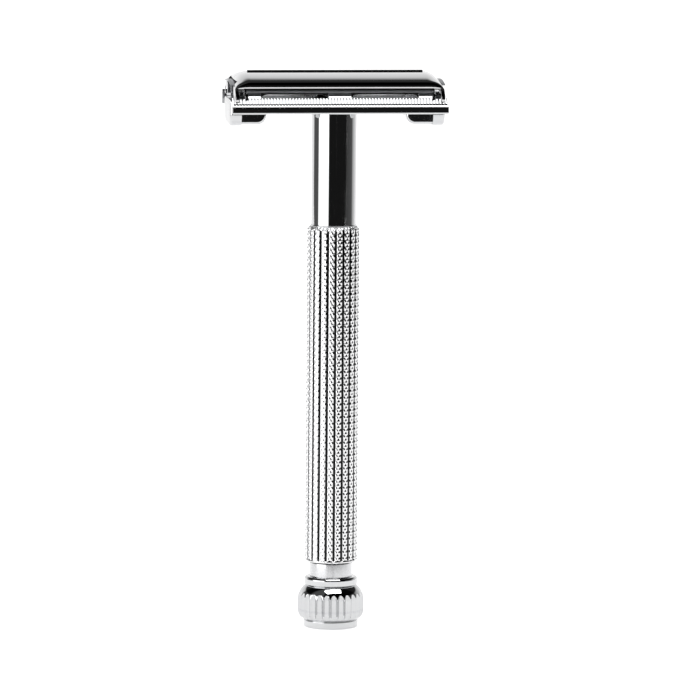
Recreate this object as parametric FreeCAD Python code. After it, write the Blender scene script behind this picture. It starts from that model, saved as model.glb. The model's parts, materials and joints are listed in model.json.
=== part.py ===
import FreeCAD, Part
import math
import os
from FreeCAD import Vector

# Twist-to-open safety razor, standing on its knob.
# Millimetres, +Z up, origin at the centre of the knob's flat bottom face.
# X runs along the head, the front of the razor faces -Y.

# ---- blade and the bed it lies on ----
BLADE_LENGTH = 43.0
BLADE_WIDTH = 22.0
BLADE_THICKNESS = 0.1
BLADE_EDGE_HALF = 18.6        # half-length of the two cutting edges
BLADE_TAB_HALF = 6.6          # half-width of the end tabs
BLADE_SLOT_HALF_LENGTH = 15.5
BLADE_SLOT_HALF_WIDTH = 1.0
BLADE_HOLE_RADIUS = 2.0
BED_RADIUS = 37.0             # the blade is bent to this radius
BED_TOP_Z = 110.5
BED_AXIS_Z = BED_TOP_Z - BED_RADIUS
BED_THICKNESS = 0.9
BED_HALF_LENGTH = 19.0
BED_HALF_WIDTH = 10.0
WALL = 0.8
END_WALL = 0.7
BASE_BOTTOM_Z = 104.75
END_WALL_Y = 11.6             # the end walls reach out this far, round the hinge pins
END_WALL_TOP_Z = 108.7
FLOOR_HALF_LENGTH = 7.0
FLOOR_THICKNESS = 0.45
LUG_X = 13.0
LUG_RADIUS = 1.7
LUG_HEIGHT = 0.45

# ---- guard bars ----
GUARD_HALF_LENGTH = 21.5
GUARD_INNER_Y = 11.0
GUARD_TOP_Y = 11.4
GUARD_TOP_Z = 107.92
GUARD_BACK_Z = 107.67         # top of the guard's inner face
GUARD_SLOPE_Y = 12.82         # foot of the fluted slope
GUARD_SLOPE_Z = 106.24
GUARD_OUTER_Y = 12.9
GUARD_BAND_Z = 106.12
GUARD_BEAD_RADIUS = 0.35
FLANGE_THICKNESS = 0.9
FLUTE_PITCH = 0.61
FLUTE_RADIUS = 0.26
FLUTE_COUNT = 70
FLUTE_STANDOFF = 0.08         # flute axes lie this far off the slope
FLUTE_SHARE = 0.78            # share of the slope the flutes run down
WINDOW_INNER_X = 2.3
WINDOW_OUTER_X = 15.7
BRIDGE_OUTER_X = 18.6         # the outer bridges run from the windows to here
BRIDGE_TOP_Z = 108.8
WINDOW_LOW_Z = 106.05
WINDOW_HIGH_Z = 108.45
WINDOW_SPARE = 0.2            # how far a window's cut runs past the wall

# ---- doors ----
DOOR_TOP_Z = 112.15
DOOR_TOP_RADIUS = 41.0        # the top is gently curved across
DOOR_CORNER_RADIUS = 1.2      # then turns down sharply
DOOR_CORNER_START = 13.0      # degrees round the top arc where the corner starts
DOOR_CORNER_END = 73.0        # slope of the front wall below the corner
DOOR_THICKNESS = 0.6
DOOR_LIP_Z = 109.33
DOOR_HALF_LENGTH = 20.9
DOOR_FLAT_HALF = 17.6         # where the ends start to curve down
SEAM_GAP = 0.03               # each door stops this far short of the middle
RIDGE_WIDTH = 0.42
RIDGE_TOP_Z = 112.45
TAB_NOTCH_HALF = 6.8
TAB_NOTCH_TOP_Z = 110.8

# ---- door hinges and the cam that opens them ----
PIVOT_Y = 10.8
PIVOT_Z = 107.7
PIVOT_RADIUS = 0.6
EAR_RADIUS = 1.3
EAR_INNER_X = 20.1
EAR_CLEARANCE = 0.1
EAR_FRONT_Y = 10.3
EAR_WEB_Y = 6.95
EAR_WEB_TOP_Z = 110.2
HEEL = 3.1                    # cam pin to pivot
HEEL_RADIUS = 0.95
CAM_PIN_RADIUS = 0.5
OPEN_ANGLE = 75.0
LIFT = 3.1                    # rise of the lifter from shut to open
RUNNING_GAP = 0.05
CAM_STEPS = 16                # straight pieces in a cam slot

# ---- lifter ----
CAP_INNER_X = 19.15
CAP_PLATE_X = 19.95
CAP_OUTER_X = 21.5
CAP_HALF_WIDTH = 6.5
CAP_WING_Y = 10.15
CAP_WING_INNER_Y = 6.75
CAP_WING_ROOT_Z = 104.65
CAP_WING_LOW_Z = 106.4
CAP_WING_TOP_Z = 108.95
CAP_WING_EASE = 0.3
CAP_EDGE = 0.5
CAP_TOP_Z = 106.7
CAP_BOTTOM_Z = 101.7
LOBE_BOTTOM_Z = 101.9
LOBE_INNER_X = 14.0
LOBE_HALF_WIDTH = 4.1
LOBE_CORNER = 1.8
CAP_CORNER = 2.4
BAR_HALF_WIDTH = 4.0
BAR_BOTTOM_Z = 105.45
BAR_THICKNESS = 1.0
RIVET_X = 16.5
RIVET_RADIUS = 0.9
RIVET_HEAD_RADIUS = 1.5
RIVET_DEPTH = 3.4
CHANNEL_HALF_WIDTH = 4.3
STEM_RADIUS = 2.0
STEM_CLEARANCE = 0.1
STEM_TIP_RADIUS = 1.2
STEM_BOTTOM_Z = 44.0
THREAD_LENGTH = 13.0
THREAD_CORE_RADIUS = 1.6
THREAD_LEAD = LIFT / 2.0      # the knob makes two turns for the whole lift
THREAD_ROOT_SHARE = 0.64      # width of the thread at its root and crest, in leads
THREAD_CREST_SHARE = 0.24
THREAD_SINK = 0.05            # the thread's root is sunk this far into its core

# ---- neck and grip ----
NECK_RADIUS = 4.5
NECK_BORE = 2.9
NECK_BOTTOM_Z = 81.2
NECK_RING_RADIUS = 4.68
NECK_RING_HEIGHT = 0.32
SPIGOT_BOTTOM_Z = 74.0
GUIDE_BOTTOM_Z = 94.0
GUIDE_TOP_Z = 104.0
GRIP_RADIUS = 5.275
GRIP_BORE = 3.6
GRIP_BOTTOM_Z = 13.35
GRIP_CHAMFER_Z = 80.4
GRIP_SHOULDER_RADIUS = 4.75
GRIP_EASE = 0.3
GROOVE_COUNT = 20
GROOVE_WIDTH = 0.46
GROOVE_DEPTH = 0.32
GROOVE_TOP_Z = 79.9
GROOVE_BOTTOM_Z = 13.9

# ---- drive: spindle, collar and knob ----
SPINDLE_RADIUS = 3.5
SPINDLE_TOP_Z = 62.0
SPINDLE_BORE_Z = 43.0
JOURNAL_RADIUS = 2.7
SHOULDER_Z = 18.2
THRUST_GAP = 0.02
BUSH_BOTTOM_Z = 14.0
BUSH_TOP_Z = 17.7
SPIGOT_RADIUS = 2.0
SPIGOT_END_Z = 3.0
COLLAR_RADIUS = 4.25
COLLAR_BOTTOM_Z = 10.35
COLLAR_TOP_Z = 13.3
COLLAR_EASE = 0.2
KNOB_RING_RADIUS = 5.375
KNOB_RING_BOTTOM_Z = 8.75
BALL_RADIUS = 6.65
BALL_LOW_Z = 3.5
BALL_HIGH_Z = 5.9
BALL_FOOT_RADIUS = 5.3        # where the ball meets the foot ring
BALL_NECK_RADIUS = 4.95
BALL_LOW_POINT = (6.27, 2.45)  # (radius, z) on the ball below and above its widest part
BALL_HIGH_POINT = (6.23, 7.45)
FOOT_RADIUS = 5.5
FOOT_HEIGHT = 1.6
FOOT_EASE = 0.35
KNOB_RING_EASE = 0.5
KNOB_FLUTES = 28
KNOB_FLUTE_RADIUS = 0.72
KNOB_FLUTE_DEPTH = 0.36
KNOB_FLUTE_LOW_Z = 1.9
KNOB_FLUTE_HIGH_Z = 5.5
KNOB_FLUTE_POINT = 1.8        # height of the point above each flute

SIDES = (-1, 1)
MARGIN = 1.0                  # how far cutting tools run past a face
JOIN = 0.1                    # how far fused pieces run into each other
TINY = 1e-6


def box(x0, x1, y0, y1, z0, z1):
    """Block between two corners given in any order."""
    size = (abs(x1 - x0), abs(y1 - y0), abs(z1 - z0))
    return Part.makeBox(*size, Vector(min(x0, x1), min(y0, y1), min(z0, z1)))


def post(radius, z0, z1, x=0.0, y=0.0):
    """Upright cylinder."""
    return Part.makeCylinder(radius, z1 - z0, Vector(x, y, z0))


def tube(outer, inner, z0, z1):
    """Upright tube on the razor's own axis."""
    return post(outer, z0, z1).cut(post(inner, z0 - MARGIN, z1 + MARGIN))


def rod(radius, x0, x1, y, z):
    """Cylinder lying along X."""
    return Part.makeCylinder(radius, abs(x1 - x0), Vector(min(x0, x1), y, z), Vector(1, 0, 0))


def plate(points, x0, x1):
    """Flat plate: an outline of (y, z) points given a thickness along X."""
    low = min(x0, x1)
    corners = [Vector(low, y, z) for y, z in points]
    face = Part.Face(Part.makePolygon(corners + corners[:1]))
    return face.extrude(Vector(abs(x1 - x0), 0, 0))


def round_edges(shape, radius, wanted):
    """Fillet the edges for which wanted(edge) is true."""
    return shape.makeFillet(radius, [edge for edge in shape.Edges if wanted(edge)])


def bed_block(half_length, half_width, radius, bottom):
    """Block whose top is the curved bed surface of the given radius."""
    block = box(-half_length, half_length, -half_width, half_width, bottom, BED_TOP_Z + MARGIN)
    return block.common(rod(radius, -half_length, half_length, 0, BED_AXIS_Z))


def bed_tray():
    """Blade bed with its side and end walls, hollow underneath."""
    tray = bed_block(BED_HALF_LENGTH, BED_HALF_WIDTH, BED_RADIUS, BASE_BOTTOM_Z)
    hollow = bed_block(BED_HALF_LENGTH - END_WALL, BED_HALF_WIDTH - WALL,
                       BED_RADIUS - BED_THICKNESS, BASE_BOTTOM_Z - MARGIN)
    ceiling = BED_TOP_Z - BED_THICKNESS
    channel = box(-BED_HALF_LENGTH - MARGIN, BED_HALF_LENGTH + MARGIN,
                  -CHANNEL_HALF_WIDTH, CHANNEL_HALF_WIDTH, BASE_BOTTOM_Z - MARGIN, ceiling - RUNNING_GAP)
    return tray.cut(hollow).cut(channel)


def guard_bar(side):
    """One guard bar: sloping fluted top, smooth band and a rounded lower edge."""
    x = -GUARD_HALF_LENGTH
    bead_y = GUARD_OUTER_Y - GUARD_BEAD_RADIUS
    bead_z = BASE_BOTTOM_Z + GUARD_BEAD_RADIUS
    half_way = GUARD_BEAD_RADIUS * math.sqrt(0.5)
    outline = [(GUARD_OUTER_Y, bead_z), (GUARD_OUTER_Y, GUARD_BAND_Z), (GUARD_SLOPE_Y, GUARD_SLOPE_Z),
               (GUARD_TOP_Y, GUARD_TOP_Z), (GUARD_INNER_Y, GUARD_BACK_Z),
               (GUARD_INNER_Y, BASE_BOTTOM_Z), (bead_y, BASE_BOTTOM_Z)]
    points = [Vector(x, side * y, z) for y, z in outline]
    edges = [Part.makeLine(start, finish) for start, finish in zip(points, points[1:])]
    middle = Vector(x, side * (bead_y + half_way), bead_z - half_way)
    edges.append(Part.Arc(points[-1], middle, points[0]).toShape())
    bar = Part.Face(Part.Wire(edges)).extrude(Vector(2.0 * GUARD_HALF_LENGTH, 0, 0))
    flange = box(-BED_HALF_LENGTH, BED_HALF_LENGTH, side * (BED_HALF_WIDTH - WALL),
                 side * (GUARD_INNER_Y + 2.0 * JOIN), BASE_BOTTOM_Z, BASE_BOTTOM_Z + FLANGE_THICKNESS)
    return bar.fuse(flange)


def guard_flutes(side):
    """The row of fine flutes down the guard's slope, ending short of its foot."""
    slope = Vector(0, side * (GUARD_SLOPE_Y - GUARD_TOP_Y), GUARD_SLOPE_Z - GUARD_TOP_Z)
    start = Vector(0, side * GUARD_TOP_Y, GUARD_TOP_Z) - slope
    outward = Vector(0, -slope.z, side * slope.y).normalize() * FLUTE_STANDOFF
    outward.y = outward.y * side
    length = slope.Length * (1.0 + FLUTE_SHARE)
    first = -FLUTE_PITCH * (FLUTE_COUNT - 1) / 2.0
    cuts = []
    for index in range(FLUTE_COUNT):
        base = start + outward + Vector(first + index * FLUTE_PITCH, 0, 0)
        cuts.append(Part.makeCylinder(FLUTE_RADIUS, length, base, slope))
    return cuts


def lather_window(side, end):
    """Long opening with rounded ends through the riser wall below the blade."""
    radius = (WINDOW_HIGH_Z - WINDOW_LOW_Z) / 2.0
    middle = WINDOW_LOW_Z + radius
    inner = end * (WINDOW_INNER_X + radius)
    outer = end * (WINDOW_OUTER_X - radius)
    y0 = side * (BED_HALF_WIDTH - WALL - WINDOW_SPARE)
    y1 = side * (BED_HALF_WIDTH + WINDOW_SPARE)
    window = box(inner, outer, y0, y1, WINDOW_LOW_Z, WINDOW_HIGH_Z)
    for x in (inner, outer):
        start = Vector(x, min(y0, y1), middle)
        window = window.fuse(Part.makeCylinder(radius, abs(y1 - y0), start, Vector(0, 1, 0)))
    return window


def bridge(side, x0, x1):
    """Solid stretch between two windows: a rib inside and a sloping tab out to the guard."""
    rib = box(x0, x1, side * (CHANNEL_HALF_WIDTH + 2.0 * JOIN), side * (BED_HALF_WIDTH - JOIN),
              BASE_BOTTOM_Z, END_WALL_TOP_Z)
    near = side * (BED_HALF_WIDTH - JOIN)
    far = side * (GUARD_INNER_Y + JOIN)
    foot = BASE_BOTTOM_Z + 2.0 * JOIN
    tab = plate([(near, foot), (near, BRIDGE_TOP_Z), (far, GUARD_BACK_Z), (far, foot)], x0, x1)
    return rib.fuse(tab)


def ear_notch(side, end):
    """Room in the guard bar for a door ear to swing."""
    x0 = end * (EAR_INNER_X - EAR_CLEARANCE)
    x1 = end * (DOOR_HALF_LENGTH + EAR_CLEARANCE)
    radius = EAR_RADIUS + EAR_CLEARANCE
    notch = rod(radius, x0, x1, side * PIVOT_Y, PIVOT_Z)
    above = box(x0, x1, side * (PIVOT_Y - radius), side * (PIVOT_Y + radius), PIVOT_Z, GUARD_TOP_Z + MARGIN)
    return notch.fuse(above)


def base_plate():
    """Bed, guard bars, end walls and the floor the neck is soldered to."""
    base = bed_tray()
    floor = box(-FLOOR_HALF_LENGTH, FLOOR_HALF_LENGTH, -BED_HALF_WIDTH + JOIN, BED_HALF_WIDTH - JOIN,
                BASE_BOTTOM_Z, BASE_BOTTOM_Z + FLOOR_THICKNESS)
    solids = [floor]
    cuts = [post(STEM_RADIUS + STEM_CLEARANCE, BASE_BOTTOM_Z - MARGIN, BASE_BOTTOM_Z + MARGIN)]
    for side in SIDES:
        solids.append(guard_bar(side))
        solids.append(bridge(side, -WINDOW_INNER_X, WINDOW_INNER_X))
        for end in SIDES:
            solids.append(box(end * (BED_HALF_LENGTH - END_WALL), end * BED_HALF_LENGTH,
                              side * (BED_HALF_WIDTH - WALL), side * END_WALL_Y,
                              BASE_BOTTOM_Z, END_WALL_TOP_Z))
            solids.append(bridge(side, end * WINDOW_OUTER_X, end * BRIDGE_OUTER_X))
            cuts.append(lather_window(side, end))
            cuts.append(ear_notch(side, end))
            cuts.append(rod(PIVOT_RADIUS, end * (BED_HALF_LENGTH - END_WALL - WINDOW_SPARE),
                            end * DOOR_HALF_LENGTH, side * PIVOT_Y, PIVOT_Z))
        cuts.extend(guard_flutes(side))
    for end in SIDES:
        solids.append(post(LUG_RADIUS, BED_TOP_Z - BED_THICKNESS / 2.0, BED_TOP_Z + LUG_HEIGHT, end * LUG_X))
    base = base.fuse(solids).cut(cuts)
    return base.removeSplitter()


def razor_blade():
    """Standard double-edge blade, bent over the bed."""
    half = BLADE_LENGTH / 2.0
    angle = BLADE_WIDTH / 2.0 / BED_RADIUS
    edge_y = BED_RADIUS * math.sin(angle)
    outer = rod(BED_RADIUS + BLADE_THICKNESS, -half, half, 0, BED_AXIS_Z)
    inner = rod(BED_RADIUS, -half - MARGIN, half + MARGIN, 0, BED_AXIS_Z)
    wide = box(-BLADE_EDGE_HALF, BLADE_EDGE_HALF, -edge_y, edge_y, PIVOT_Z, RIDGE_TOP_Z)
    tabs = box(-half, half, -BLADE_TAB_HALF, BLADE_TAB_HALF, PIVOT_Z, RIDGE_TOP_Z)
    blade = outer.cut(inner).common(wide.fuse(tabs))
    cuts = [box(-BLADE_SLOT_HALF_LENGTH, BLADE_SLOT_HALF_LENGTH, -BLADE_SLOT_HALF_WIDTH,
                BLADE_SLOT_HALF_WIDTH, PIVOT_Z, RIDGE_TOP_Z)]
    for x in (-LUG_X, 0.0, LUG_X):
        cuts.append(post(BLADE_HOLE_RADIUS, PIVOT_Z, RIDGE_TOP_Z, x))
    return blade.cut(cuts)


def polar(centre, radius, degrees):
    """Point (y, z) on a circle, at an angle outward from straight up."""
    turn = math.radians(degrees)
    return centre[0] + radius * math.sin(turn), centre[1] + radius * math.cos(turn)


def door_section(side, inset, x):
    """Cross outline of a door: curved top, tight corner and steep front wall."""
    top_centre = (0.0, DOOR_TOP_Z - DOOR_TOP_RADIUS)
    corner_centre = polar(top_centre, DOOR_TOP_RADIUS - DOOR_CORNER_RADIUS, DOOR_CORNER_START)
    middle = (DOOR_CORNER_START + DOOR_CORNER_END) / 2.0
    arcs = [(top_centre, DOOR_TOP_RADIUS - inset, (0.0, DOOR_CORNER_START / 2.0, DOOR_CORNER_START)),
            (corner_centre, DOOR_CORNER_RADIUS - inset, (DOOR_CORNER_START, middle, DOOR_CORNER_END))]
    edges = []
    for centre, radius, angles in arcs:
        points = [polar(centre, radius, angle) for angle in angles]
        edges.append(Part.Arc(*[Vector(x, side * y, z) for y, z in points]).toShape())
    end_y, end_z = points[-1]
    lip_y = end_y + (end_z - DOOR_LIP_Z) / math.tan(math.radians(DOOR_CORNER_END))
    outline = [Vector(x, side * end_y, end_z), Vector(x, side * lip_y, DOOR_LIP_Z),
               Vector(x, side * lip_y, BASE_BOTTOM_Z), Vector(x, 0, BASE_BOTTOM_Z),
               Vector(x, 0, DOOR_TOP_Z - inset)]
    for start, finish in zip(outline, outline[1:]):
        edges.append(Part.makeLine(start, finish))
    return Part.Face(Part.Wire(edges))


def door_envelope(side, inset):
    """Outside of a door, or its inside when inset by the sheet thickness."""
    half = DOOR_HALF_LENGTH - inset
    top = DOOR_TOP_Z - inset
    low = BASE_BOTTOM_Z
    reach = half - DOOR_FLAT_HALF
    drop = top - DOOR_LIP_Z
    far = GUARD_OUTER_Y
    profile = door_section(side, inset, -half).extrude(Vector(2.0 * half, 0, 0))
    outline = box(-DOOR_FLAT_HALF, DOOR_FLAT_HALF, -far, far, low, top)
    shoulders = []
    for end in SIDES:
        centre = Vector(end * DOOR_FLAT_HALF, -far, DOOR_LIP_Z)
        long_tip = centre + Vector(reach, 0, 0)
        short_tip = centre + Vector(0, 0, drop)
        if reach < drop:
            long_tip, short_tip = short_tip, long_tip
        disc = Part.Face(Part.Wire([Part.Ellipse(long_tip, short_tip, centre).toShape()]))
        shoulders.append(disc.extrude(Vector(0, 2.0 * far, 0)))
        shoulders.append(box(end * DOOR_FLAT_HALF, end * half, -far, far, low, DOOR_LIP_Z))
    return profile.common(outline.fuse(shoulders))


def door_ear(side, end):
    """Hinge ear at one end of a door: pivot boss, cam-pin heel and web."""
    x0 = end * EAR_INNER_X
    x1 = end * DOOR_HALF_LENGTH
    heel_y = PIVOT_Y - HEEL
    boss = rod(EAR_RADIUS, x0, x1, side * PIVOT_Y, PIVOT_Z)
    heel = rod(HEEL_RADIUS, x0, x1, side * heel_y, PIVOT_Z)
    web = plate([(side * heel_y, PIVOT_Z - HEEL_RADIUS), (side * EAR_WEB_Y, PIVOT_Z),
                 (side * EAR_WEB_Y, EAR_WEB_TOP_Z), (side * EAR_FRONT_Y, EAR_WEB_TOP_Z),
                 (side * EAR_FRONT_Y, DOOR_LIP_Z), (side * PIVOT_Y, PIVOT_Z + EAR_RADIUS),
                 (side * PIVOT_Y, PIVOT_Z - EAR_RADIUS)], x0, x1)
    upper = web.common(door_envelope(side, 0.0))
    lower = web.common(box(x0, x1, 0, side * (PIVOT_Y + EAR_RADIUS), PIVOT_Z - EAR_RADIUS, DOOR_LIP_Z))
    return boss.fuse([heel, upper, lower])


def door(side):
    """One door: thin curved sheet, seam ridge, tab notch and two ears."""
    sheet = door_envelope(side, 0.0).cut(door_envelope(side, DOOR_THICKNESS))
    length = DOOR_HALF_LENGTH + MARGIN
    below = box(-length, length, 0, side * GUARD_OUTER_Y, BASE_BOTTOM_Z - MARGIN, DOOR_LIP_Z)
    notch = box(-length, length, 0, side * TAB_NOTCH_HALF, BASE_BOTTOM_Z, TAB_NOTCH_TOP_Z)
    gap = box(-length, length, 0, side * SEAM_GAP, BASE_BOTTOM_Z, RIDGE_TOP_Z)
    ridge = box(-DOOR_FLAT_HALF, DOOR_FLAT_HALF, side * SEAM_GAP, side * (SEAM_GAP + RIDGE_WIDTH),
                DOOR_TOP_Z - DOOR_THICKNESS, RIDGE_TOP_Z)
    shape = sheet.cut([below, notch, gap]).fuse(ridge)
    shape = shape.fuse([door_ear(side, end) for end in SIDES])
    cuts = []
    for end in SIDES:
        x0 = end * (EAR_INNER_X - MARGIN)
        x1 = end * (DOOR_HALF_LENGTH + MARGIN)
        cuts.append(rod(PIVOT_RADIUS + RUNNING_GAP, x0, x1, side * PIVOT_Y, PIVOT_Z))
        cuts.append(rod(CAM_PIN_RADIUS, x0, x1, side * (PIVOT_Y - HEEL), PIVOT_Z))
    return shape.cut(cuts).removeSplitter()


def hinge_pins(side):
    """The two fixed pins a door swings on."""
    return [rod(PIVOT_RADIUS, end * (BED_HALF_LENGTH - END_WALL), end * DOOR_HALF_LENGTH,
                side * PIVOT_Y, PIVOT_Z) for end in SIDES]


def cam_pins(side):
    """The two pins in a door's heels that ride in the end caps' cam slots."""
    return [rod(CAM_PIN_RADIUS, end * (CAP_INNER_X + RUNNING_GAP), end * DOOR_HALF_LENGTH,
                side * (PIVOT_Y - HEEL), PIVOT_Z) for end in SIDES]


def cam_path(share):
    """Centre (outward y, z) of a cam pin seen from the rising end cap."""
    turn = math.radians(OPEN_ANGLE) * share
    return PIVOT_Y - HEEL * math.cos(turn), PIVOT_Z + HEEL * math.sin(turn) - LIFT * share


def cam_slot(side, end):
    """Slot a cam pin follows in the rising end cap, open at its outer end."""
    x0 = end * (CAP_INNER_X - MARGIN)
    x1 = end * (CAP_PLATE_X + MARGIN)
    radius = CAM_PIN_RADIUS + RUNNING_GAP
    upper = []
    lower = []
    for index in range(CAM_STEPS + 2):
        y, z = cam_path(index / CAM_STEPS)
        before = cam_path((index - 0.5) / CAM_STEPS)
        after = cam_path((index + 0.5) / CAM_STEPS)
        length = math.hypot(after[0] - before[0], after[1] - before[1])
        normal_y = -(after[1] - before[1]) / length * radius
        normal_z = (after[0] - before[0]) / length * radius
        upper.append((side * (y + normal_y), z + normal_z))
        lower.append((side * (y - normal_y), z - normal_z))
    upper.append((side * (PIVOT_Y + MARGIN), upper[-1][1]))
    lower.append((side * (PIVOT_Y + MARGIN), lower[-1][1]))
    path = plate(upper + lower[::-1], x0, x1)
    return path.fuse(rod(radius, x0, x1, side * (PIVOT_Y - HEEL), PIVOT_Z))


def end_cap(end):
    """Moving end cap: cam plate, outer block and the lobe under the head."""
    outline = [(0, CAP_TOP_Z), (0, CAP_WING_ROOT_Z), (CAP_HALF_WIDTH, CAP_WING_ROOT_Z),
               (CAP_WING_Y, CAP_WING_LOW_Z), (CAP_WING_Y, CAP_WING_TOP_Z - CAP_WING_EASE),
               (CAP_WING_Y - CAP_WING_EASE, CAP_WING_TOP_Z), (CAP_WING_INNER_Y, CAP_WING_TOP_Z),
               (CAP_WING_INNER_Y, CAP_TOP_Z)]
    shape = box(end * CAP_INNER_X, end * CAP_OUTER_X, -CAP_HALF_WIDTH, CAP_HALF_WIDTH,
                CAP_BOTTOM_Z, CAP_TOP_Z)
    shape = round_edges(shape, CAP_CORNER,
                        lambda e: lies_along_x(e) and abs(e.CenterOfMass.z - CAP_BOTTOM_Z) < TINY)
    shape = round_edges(shape, CAP_EDGE, lambda e: abs(e.CenterOfMass.x - end * CAP_OUTER_X) < TINY)
    wings = [plate([(side * y, z) for y, z in outline], end * CAP_INNER_X, end * CAP_PLATE_X)
             for side in SIDES]
    lobe = box(end * LOBE_INNER_X, end * CAP_PLATE_X, -LOBE_HALF_WIDTH, LOBE_HALF_WIDTH,
               LOBE_BOTTOM_Z, BAR_BOTTOM_Z)
    lobe = round_edges(lobe, LOBE_CORNER, lambda e: abs(e.CenterOfMass.x - end * LOBE_INNER_X) < TINY
                       and abs(e.CenterOfMass.z - LOBE_BOTTOM_Z) < TINY)
    lobe = round_edges(lobe, CAP_EDGE,
                       lambda e: lies_along_x(e) and abs(e.CenterOfMass.z - LOBE_BOTTOM_Z) < TINY)
    shape = shape.fuse(wings + [lobe]).cut([cam_slot(side, end) for side in SIDES] + [rivet(end)])
    return shape.removeSplitter()


def lies_along_x(edge):
    """True for an edge whose two ends differ only in X."""
    if len(edge.Vertexes) < 2:
        return False
    run = edge.Vertexes[1].Point - edge.Vertexes[0].Point
    return abs(run.y) < TINY and abs(run.z) < TINY


def rivet(end):
    """Countersunk rivet holding the lift bar to an end cap."""
    top = BAR_BOTTOM_Z + BAR_THICKNESS
    sink = RIVET_HEAD_RADIUS - RIVET_RADIUS
    shank = post(RIVET_RADIUS, top - RIVET_DEPTH, top, end * RIVET_X)
    head = Part.makeCone(RIVET_RADIUS, RIVET_HEAD_RADIUS, sink, Vector(end * RIVET_X, 0, top - sink))
    return shank.fuse(head)


def lift_bar():
    """Flat bar under the bed that ties both end caps to the stem."""
    top = BAR_BOTTOM_Z + BAR_THICKNESS
    bar = box(-CAP_INNER_X, CAP_INNER_X, -BAR_HALF_WIDTH, BAR_HALF_WIDTH, BAR_BOTTOM_Z, top)
    cuts = [rivet(end) for end in SIDES]
    cuts.append(post(STEM_TIP_RADIUS, BAR_BOTTOM_Z - MARGIN, top + MARGIN))
    return bar.cut(cuts)


def screw_thread(length):
    """Raised helical thread standing on its core, starting at z = 0."""
    half_root = THREAD_LEAD * THREAD_ROOT_SHARE / 2.0
    half_crest = THREAD_LEAD * THREAD_CREST_SHARE / 2.0
    helix = Part.makeHelix(THREAD_LEAD, length - 2.0 * half_root, THREAD_CORE_RADIUS)
    helix.translate(Vector(0, 0, half_root))
    sunk = THREAD_CORE_RADIUS - THREAD_SINK
    points = [Vector(sunk, 0, 0), Vector(STEM_RADIUS, 0, half_root - half_crest),
              Vector(STEM_RADIUS, 0, half_root + half_crest), Vector(sunk, 0, 2.0 * half_root)]
    profile = Part.makePolygon(points + points[:1])
    ridge = Part.Wire(helix.Edges).makePipeShell([profile], True, True)
    return post(THREAD_CORE_RADIUS, 0, length).fuse(ridge)


def lift_stem():
    """Rod from the lift bar down to the thread inside the spindle."""
    thread = screw_thread(THREAD_LENGTH)
    thread.translate(Vector(0, 0, STEM_BOTTOM_Z))
    shaft = post(STEM_RADIUS, STEM_BOTTOM_Z + THREAD_LENGTH, BAR_BOTTOM_Z)
    tip = post(STEM_TIP_RADIUS, BAR_BOTTOM_Z, BAR_BOTTOM_Z + BAR_THICKNESS)
    return thread.fuse([shaft, tip])


def neck_tube():
    """Plain neck with a small ring at each end and a spigot inside the grip."""
    neck = post(NECK_RADIUS, NECK_BOTTOM_Z, BASE_BOTTOM_Z)
    lower = post(NECK_RING_RADIUS, NECK_BOTTOM_Z, NECK_BOTTOM_Z + NECK_RING_HEIGHT)
    upper = post(NECK_RING_RADIUS, BASE_BOTTOM_Z - NECK_RING_HEIGHT, BASE_BOTTOM_Z)
    spigot = post(GRIP_BORE, SPIGOT_BOTTOM_Z, NECK_BOTTOM_Z)
    bore = post(NECK_BORE, SPIGOT_BOTTOM_Z - MARGIN, BASE_BOTTOM_Z + MARGIN)
    return neck.fuse([lower, upper, spigot]).cut(bore)


def guide_bush():
    """Bush in the neck that keeps the stem straight."""
    return tube(NECK_BORE, STEM_RADIUS + RUNNING_GAP, GUIDE_BOTTOM_Z, GUIDE_TOP_Z)


def grip_sleeve():
    """Grip: a tube with straight lengthwise grooves and a chamfered shoulder."""
    outline = [(GRIP_BORE, GRIP_BOTTOM_Z), (GRIP_RADIUS - GRIP_EASE, GRIP_BOTTOM_Z),
               (GRIP_RADIUS, GRIP_BOTTOM_Z + GRIP_EASE), (GRIP_RADIUS, GRIP_CHAMFER_Z),
               (GRIP_SHOULDER_RADIUS, NECK_BOTTOM_Z), (GRIP_BORE, NECK_BOTTOM_Z)]
    sleeve = turned(list(zip(outline, outline[1:] + outline[:1])))
    groove = box(-GROOVE_WIDTH / 2.0, GROOVE_WIDTH / 2.0, -GRIP_RADIUS - MARGIN,
                 -GRIP_RADIUS + GROOVE_DEPTH, GROOVE_BOTTOM_Z, GROOVE_TOP_Z)
    cuts = [around_axis(groove, index, GROOVE_COUNT) for index in range(GROOVE_COUNT)]
    return sleeve.cut(cuts)


def around_axis(shape, index, count):
    """Copy of a shape turned to its place in a ring of equal copies."""
    copy = shape.copy()
    copy.rotate(Vector(0, 0, 0), Vector(0, 0, 1), 360.0 * index / count)
    return copy


def spindle():
    """Turning tube inside the grip: threaded bore above, knob spigot below."""
    body = post(SPINDLE_RADIUS, SHOULDER_Z, SPINDLE_TOP_Z)
    journal = post(JOURNAL_RADIUS, COLLAR_TOP_Z, SHOULDER_Z)
    spigot = post(SPIGOT_RADIUS, SPIGOT_END_Z, COLLAR_TOP_Z)
    bore = post(STEM_RADIUS + RUNNING_GAP, SPINDLE_BORE_Z, SPINDLE_TOP_Z + MARGIN)
    return body.fuse([journal, spigot]).cut(bore)


def bottom_bush():
    """Bush pressed into the grip that carries the spindle's journal."""
    return tube(GRIP_BORE, JOURNAL_RADIUS + RUNNING_GAP, BUSH_BOTTOM_Z, BUSH_TOP_Z)


def thrust_washer():
    """Washer between the bush and the spindle's shoulder."""
    return tube(GRIP_BORE - RUNNING_GAP, JOURNAL_RADIUS + RUNNING_GAP, BUSH_TOP_Z, SHOULDER_Z - THRUST_GAP)


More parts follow.
